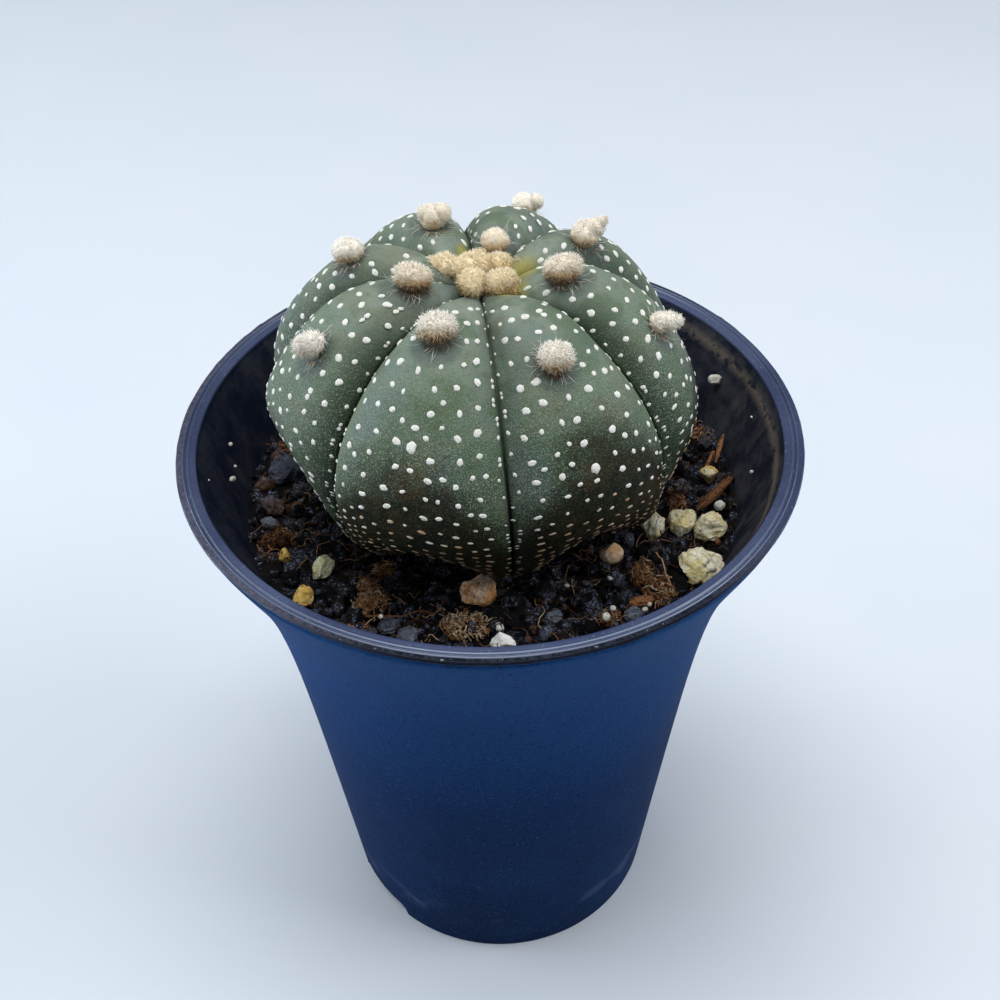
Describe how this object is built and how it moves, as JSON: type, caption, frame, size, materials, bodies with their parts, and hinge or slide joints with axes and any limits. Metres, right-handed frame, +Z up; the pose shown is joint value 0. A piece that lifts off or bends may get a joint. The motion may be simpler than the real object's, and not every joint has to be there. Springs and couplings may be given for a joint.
{
  "type": "potted star cactus",
  "caption": "Low ribbed star cactus with white felt flecks and wool tufts, in gritty soil in a small flared dark blue plastic pot.",
  "frame": {"origin": "middle of the pot's base, on the surface that it stands on", "axes": "+Z up through the plant; the picture looks along +Y, from the -Y side, with +X to the right"},
  "size_m": [0.084, 0.084, 0.1226],
  "materials": {
    "pot_plastic": "fine-grained matte outside, smooth half-gloss lip, dusty inside",
    "soil": "dark peat with wet black granules, brown fibre and pale grit",
    "cactus_skin": "matte grey-green skin, finely speckled, brown and corky low on the ribs",
    "crown_felt": "golden tan wool",
    "areole_felt": "cream white wool with a brownish foot",
    "fleck_felt": "white felt dots, tan low on the ribs",
    "pumice": "rough pale yellow porous stone",
    "tan_stone": "rough tan stone",
    "white_grit": "white perlite",
    "fibre": "brown coir, bark and thin roots"
  },
  "bodies": {
    "root": {"pot": "pot_plastic", "soil": "soil", "cactus": "cactus_skin", "crown_wool": "crown_felt", "areole_wool_1": "areole_felt", "areole_wool_2": "areole_felt", "areole_wool_3": "areole_felt", "areole_wool_4": "areole_felt", "areole_wool_5": "areole_felt", "areole_wool_6": "areole_felt", "areole_wool_7": "areole_felt", "areole_wool_8": "areole_felt", "areole_wool_9": "areole_felt", "areole_wool_10": "areole_felt", "areole_wool_11": "areole_felt", "stone_row_1": "pumice", "stone_row_2": "pumice", "stone_row_3": "pumice", "stone_low_right": "pumice", "stone_wedge": "pumice", "stone_peach": "tan_stone", "stone_knobby": "tan_stone", "stone_bean": "pumice", "stone_yellow_left": "pumice", "stone_small_left": "pumice", "stone_white_front": "white_grit", "stone_back_left": "pumice", "stone_back": "pumice", "stone_back_right": "pumice"}
  },
  "joints": []
}
